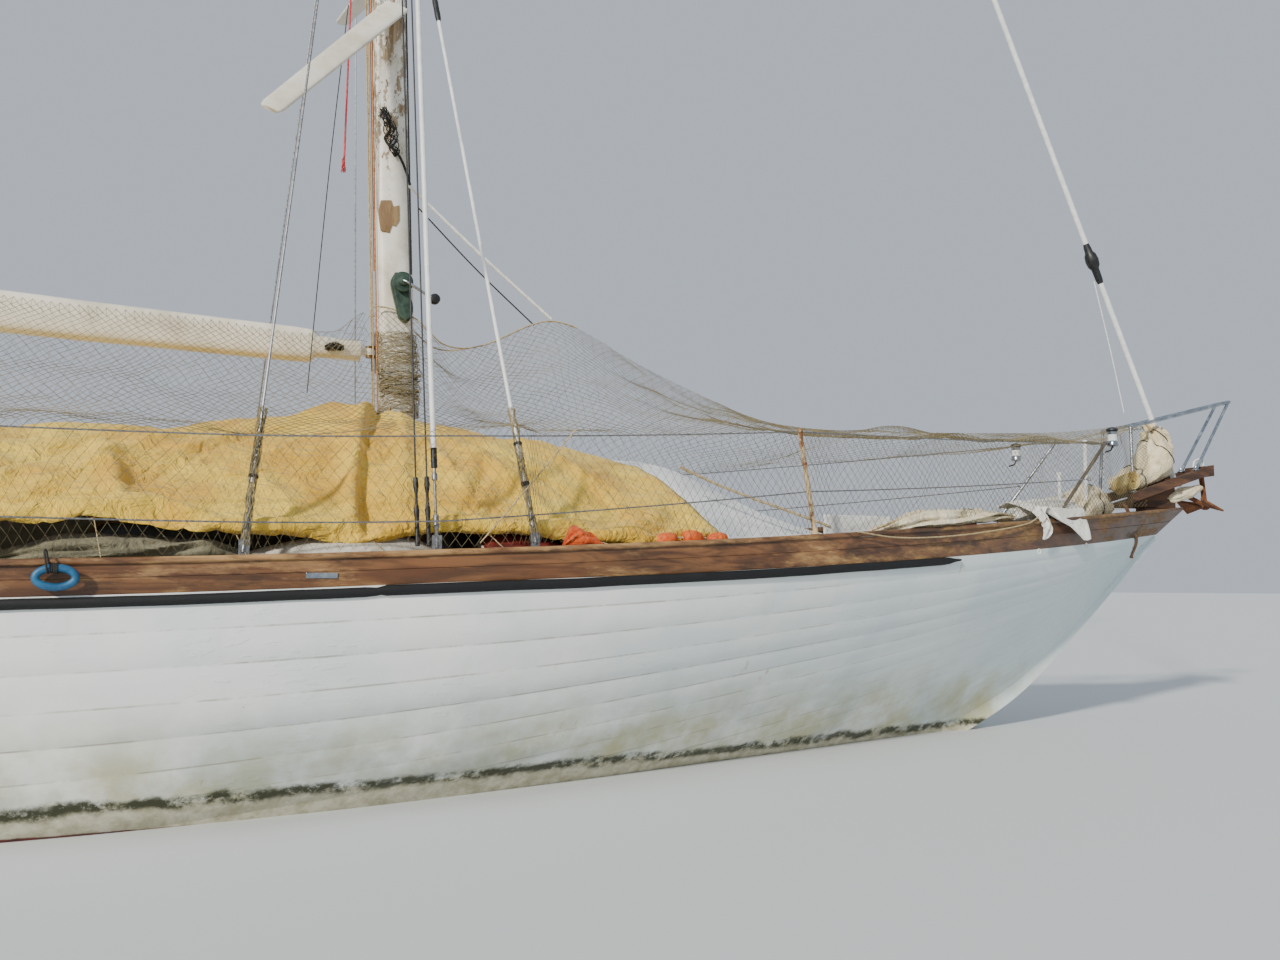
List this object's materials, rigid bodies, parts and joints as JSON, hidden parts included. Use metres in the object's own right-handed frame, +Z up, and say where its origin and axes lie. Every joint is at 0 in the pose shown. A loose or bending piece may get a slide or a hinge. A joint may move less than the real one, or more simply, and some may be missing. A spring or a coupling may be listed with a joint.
{
  "type": "yawl",
  "caption": "Wooden two-masted sailing yacht with a long keel, raked rudder and tiller, low cabin, bow platform and bare masts, its deck half covered by a tarpaulin.",
  "frame": {"origin": "on the centreline at the waterline, amidships, 5.0 m aft of the waterline's fore end", "axes": "+X forward to the bow, +Y to port, +Z up; the water is the plane Z = 0"},
  "size_m": [15.9319, 3.4978, 19.4172],
  "materials": {
    "bronze": "dull bronze",
    "canvas": "cream canvas",
    "deck": "painted, non-slip, worn",
    "engine": "painted block",
    "iron": "antifouling paint, dull",
    "red": "dark red, dull",
    "rubber": "black, dull",
    "rust": "rusty",
    "sheet": "pale blue-grey sheeting",
    "spar": "peeling white paint",
    "steel": "polished tube",
    "tarp": "yellow oilcloth",
    "timber": "dark oiled timber",
    "topsides": "painted planking, worn white paint",
    "trunk": "painted, dull",
    "varnish": "old varnish, patchy",
    "winch": "green paint",
    "wire": "weathered"
  },
  "bodies": {
    "boat": {"aft_lower_shroud_port": "wire", "aft_lower_shroud_starboard": "wire", "anchor": "rust", "backstay_port": "wire", "backstay_starboard": "wire", "ballast_keel": "iron", "bow_platform": "timber", "bulwark_port": "varnish", "bulwark_starboard": "varnish", "cabin_trunk": "trunk", "cap_rail_port": "varnish", "cap_rail_starboard": "varnish", "cap_shroud_port": "wire", "cap_shroud_starboard": "wire", "coachroof": "trunk", "cockpit_coaming": "varnish", "cockpit_winch_port": "bronze", "cockpit_winch_starboard": "bronze", "companionway_bulkhead": "trunk", "deck": "deck", "engine": "engine", "fore_lower_shroud_port": "wire", "fore_lower_shroud_starboard": "wire", "foredeck_bundle": "canvas", "foredeck_sheet": "sheet", "forehatch_coaming": "varnish", "forestay": "spar", "gooseneck": "steel", "hatch_runners": "varnish", "headsail_bundle": "canvas", "hull": "topsides", "lifelines_port": "wire", "lifelines_starboard": "wire", "main_mast": "spar", "mast_winch": "winch", "mizzen_gooseneck": "steel", "mizzen_mast": "spar", "mizzen_shrouds_port": "wire", "mizzen_shrouds_starboard": "wire", "pulpit": "steel", "rub_strake_port": "rubber", "rub_strake_starboard": "rubber", "rudder_heel_shoe": "bronze", "samson_post": "timber", "spreader_port": "spar", "spreader_starboard": "spar", "stem_head": "varnish", "stowed_dinghy": "red", "taffrail": "varnish", "tarpaulin": "tarp"},
    "main_boom": {"main_boom": "spar"},
    "mizzen_boom": {"mizzen_boom": "spar"},
    "rudder": {"rudder_blade": "iron", "tiller": "varnish"},
    "propeller": {"propeller": "bronze"},
    "companionway_hatch": {"companionway_hatch": "varnish"},
    "companionway_door_port": {"companionway_door_port": "varnish"},
    "companionway_door_starboard": {"companionway_door_starboard": "varnish"},
    "forehatch_lid": {"forehatch_lid": "varnish"}
  },
  "joints": [
    {"name": "main_boom_swing", "type": "hinge", "parent": "boat", "child": "main_boom", "pos_m": [0.817, 0, 2.38], "axis": [-0.04, 0, 0.9992], "range_deg": [-55, 55]},
    {"name": "mizzen_boom_swing", "type": "hinge", "parent": "boat", "child": "mizzen_boom", "pos_m": [-6.026, 0, 2.08], "axis": [0, 0, 1], "range_deg": [-60, 60]},
    {"name": "rudder_turn", "type": "hinge", "parent": "boat", "child": "rudder", "pos_m": [-3.83, 0, -2.14], "axis": [-0.3345, 0, 0.9424], "range_deg": [-35, 35]},
    {"name": "propeller_spin", "type": "hinge", "parent": "boat", "child": "propeller", "pos_m": [-3.905, 0, -1.12], "axis": [1, 0, 0], "continuous": true},
    {"name": "companionway_hatch_slide", "type": "slide", "parent": "boat", "child": "companionway_hatch", "axis": [1, 0, 0], "range_m": [0, 0.5]},
    {"name": "companionway_door_port_swing", "type": "hinge", "parent": "boat", "child": "companionway_door_port", "pos_m": [-2.98, 0.33, 1.305], "axis": [0, 0, 1], "range_deg": [-110, 0]},
    {"name": "companionway_door_starboard_swing", "type": "hinge", "parent": "boat", "child": "companionway_door_starboard", "pos_m": [-2.98, -0.33, 1.305], "axis": [0, 0, 1], "range_deg": [0, 110]},
    {"name": "forehatch_lid_lift", "type": "hinge", "parent": "boat", "child": "forehatch_lid", "pos_m": [4.542, 0, 1.3887], "axis": [0, 1, 0], "range_deg": [0, 75]}
  ]
}
